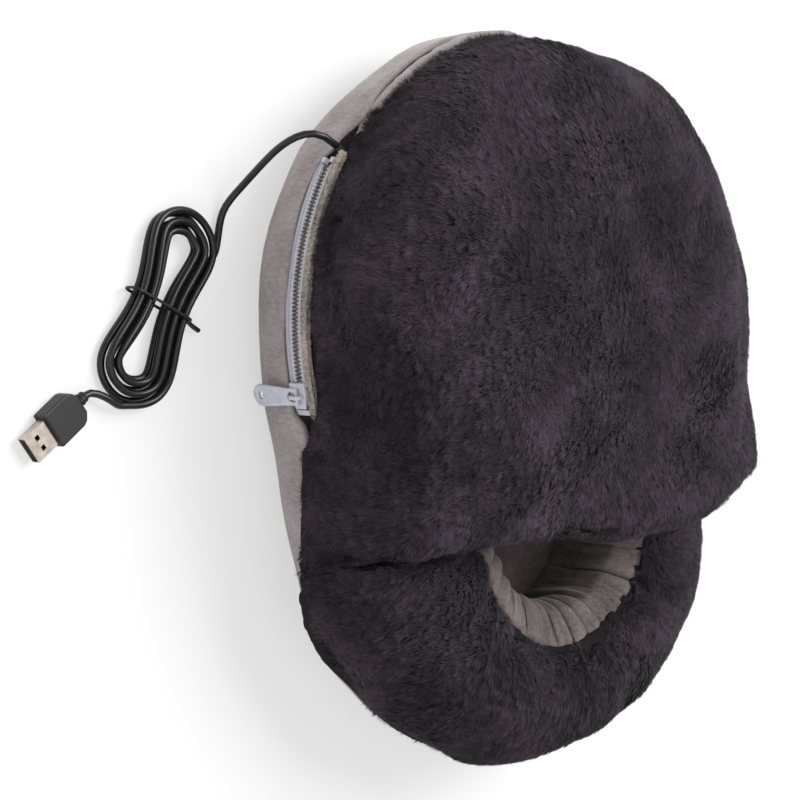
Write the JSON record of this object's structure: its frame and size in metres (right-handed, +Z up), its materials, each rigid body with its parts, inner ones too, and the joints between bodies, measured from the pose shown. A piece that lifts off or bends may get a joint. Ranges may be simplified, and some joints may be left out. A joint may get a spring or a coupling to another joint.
{
  "type": "electric foot warmer",
  "caption": "Wide plush slipper for both feet with a stuffed ankle collar, a heating pad in the sole, a side zipper and a USB cord in a tied hank.",
  "frame": {"origin": "on the floor, at the middle of the flat underside of the sole", "axes": "+Y from heel to toe, +X to the wearer's right, +Z up"},
  "size_m": [0.3482, 0.3258, 0.1309],
  "materials": {
    "outsole": "short pile cloth",
    "side_panel": "short pile cloth",
    "side_padding": "loose wadding",
    "side_lining": "short pile cloth",
    "sole_board": "firm closed foam",
    "sole_sponge": "soft sponge",
    "insole": "short pile over foam",
    "heating_pad_bottom": "thin felt",
    "heating_pad_top": "thin felt",
    "heating_wire": "smooth sleeve",
    "thermostat": "pressed can",
    "pad_cord_joint": "moulded",
    "pad_lead": "smooth jacket",
    "upper_plush": "long plush",
    "upper_padding": "loose wadding",
    "upper_lining": "short pile cloth",
    "upper_rim_facing": "long plush",
    "collar_plush": "long plush",
    "collar_stuffing": "loose wadding",
    "heel_lining": "gathered short pile cloth",
    "zipper_tape_lower": "woven tape",
    "zipper_tape_upper": "woven tape",
    "zipper_teeth_lower": "nylon",
    "zipper_teeth_upper": "nylon",
    "zipper_bottom_stop": "nylon",
    "zipper_top_stop_lower": "nylon",
    "zipper_top_stop_upper": "nylon",
    "zipper_slider": "white enamel",
    "zipper_pull_tab": "moulded",
    "cord_lead": "smooth jacket",
    "cord_hank": "smooth jacket",
    "cord_tail": "smooth jacket",
    "hank_tie": "coated wire",
    "plug_relief": "moulded",
    "plug_overmold": "moulded",
    "plug_shell": "nickel plate",
    "plug_tongue": "moulded",
    "plug_contact_1": "gilt",
    "plug_contact_2": "gilt",
    "plug_contact_3": "gilt",
    "plug_contact_4": "gilt"
  },
  "bodies": {
    "slipper": {"outsole": "outsole", "side_panel": "side_panel", "side_padding": "side_padding", "side_lining": "side_lining", "sole_board": "sole_board", "sole_sponge": "sole_sponge", "insole": "insole", "heating_pad_bottom": "heating_pad_bottom", "heating_pad_top": "heating_pad_top", "heating_wire": "heating_wire", "thermostat": "thermostat", "pad_cord_joint": "pad_cord_joint", "pad_lead": "pad_lead", "upper_plush": "upper_plush", "upper_padding": "upper_padding", "upper_lining": "upper_lining", "upper_rim_facing": "upper_rim_facing", "collar_plush": "collar_plush", "collar_stuffing": "collar_stuffing", "heel_lining": "heel_lining", "zipper_tape_lower": "zipper_tape_lower", "zipper_tape_upper": "zipper_tape_upper", "zipper_teeth_lower": "zipper_teeth_lower", "zipper_teeth_upper": "zipper_teeth_upper", "zipper_bottom_stop": "zipper_bottom_stop", "zipper_top_stop_lower": "zipper_top_stop_lower", "zipper_top_stop_upper": "zipper_top_stop_upper", "cord_lead": "cord_lead", "cord_hank": "cord_hank", "cord_tail": "cord_tail", "hank_tie": "hank_tie", "plug_relief": "plug_relief", "plug_overmold": "plug_overmold", "plug_shell": "plug_shell", "plug_tongue": "plug_tongue", "plug_contact_1": "plug_contact_1", "plug_contact_2": "plug_contact_2", "plug_contact_3": "plug_contact_3", "plug_contact_4": "plug_contact_4"},
    "slider": {"zipper_slider": "zipper_slider"},
    "pull_tab": {"zipper_pull_tab": "zipper_pull_tab"}
  },
  "joints": [
    {"name": "slider_travel", "type": "hinge", "parent": "slipper", "child": "slider", "pos_m": [0.0083, 0.0355, 0.04448], "axis": [0, 0, -1], "range_deg": [0, 36]},
    {"name": "tab_swing", "type": "hinge", "parent": "slider", "child": "pull_tab", "pos_m": [-0.1195, 0.02207, 0.04448], "axis": [-0.1045, 0.9945, 0], "range_deg": [0, 150]}
  ]
}
